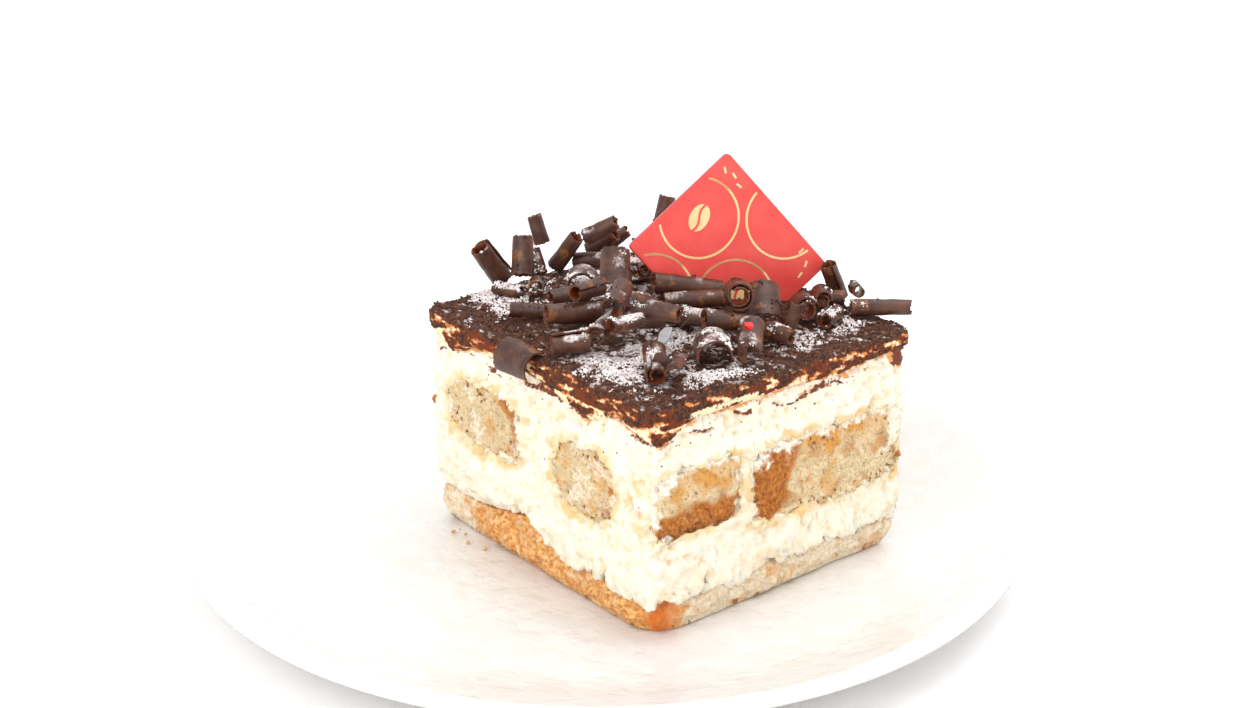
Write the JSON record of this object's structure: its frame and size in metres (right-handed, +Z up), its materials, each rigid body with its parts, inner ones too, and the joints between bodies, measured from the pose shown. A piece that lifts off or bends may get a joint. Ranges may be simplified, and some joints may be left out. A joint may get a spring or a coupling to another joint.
{
  "type": "tiramisu slice on a plate",
  "caption": "Square-cut slice of layered tiramisu on a shallow round plate, topped with cocoa, chocolate curls and an upright chocolate plaque.",
  "frame": {"origin": "under the plate's centre, on the surface that the plate stands on", "axes": "+Z up; the slice's two open cut faces look along -Y and +X"},
  "size_m": [0.1626, 0.1626, 0.0777],
  "materials": {
    "porcelain": "white glazed porcelain, satin gloss",
    "soaked_base": "moist coffee-soaked sponge",
    "cream": "whipped mascarpone cream, airy and soft",
    "ladyfinger": "open-crumb sponge finger, coffee-stained",
    "cocoa": "dry cocoa powder dusted over cream",
    "chocolate": "satin dark chocolate shaving",
    "plaque": "moulded chocolate with a red and gold transfer print"
  },
  "bodies": {
    "root": {"plate": "porcelain", "base_sponge": "soaked_base", "cream": "cream", "finger_left": "ladyfinger", "finger_middle": "ladyfinger", "finger_right_front": "ladyfinger", "finger_right_back": "ladyfinger", "cocoa_topping": "cocoa", "plaque": "plaque", "edge_flake": "chocolate", "curl_01": "chocolate", "curl_02": "chocolate", "curl_03": "chocolate", "curl_04": "chocolate", "curl_05": "chocolate", "curl_06": "chocolate", "curl_07": "chocolate", "curl_08": "chocolate", "curl_09": "chocolate", "curl_10": "chocolate", "curl_11": "chocolate", "curl_12": "chocolate", "curl_13": "chocolate", "curl_14": "chocolate", "curl_15": "chocolate", "curl_16": "chocolate", "curl_17": "chocolate", "curl_18": "chocolate", "curl_19": "chocolate", "curl_20": "chocolate", "curl_21": "chocolate", "curl_22": "chocolate", "curl_23": "chocolate", "curl_24": "chocolate", "curl_25": "chocolate", "curl_26": "chocolate", "curl_27": "chocolate", "curl_28": "chocolate", "curl_29": "chocolate", "curl_30": "chocolate", "curl_31": "chocolate", "curl_32": "chocolate", "curl_33": "chocolate", "curl_34": "chocolate", "curl_35": "chocolate", "curl_36": "chocolate", "curl_37": "chocolate", "curl_38": "chocolate", "curl_39": "chocolate", "curl_40": "chocolate", "curl_41": "chocolate", "curl_42": "chocolate", "curl_43": "chocolate", "curl_44": "chocolate", "curl_45": "chocolate", "curl_46": "chocolate", "curl_47": "chocolate", "curl_48": "chocolate"}
  },
  "joints": []
}
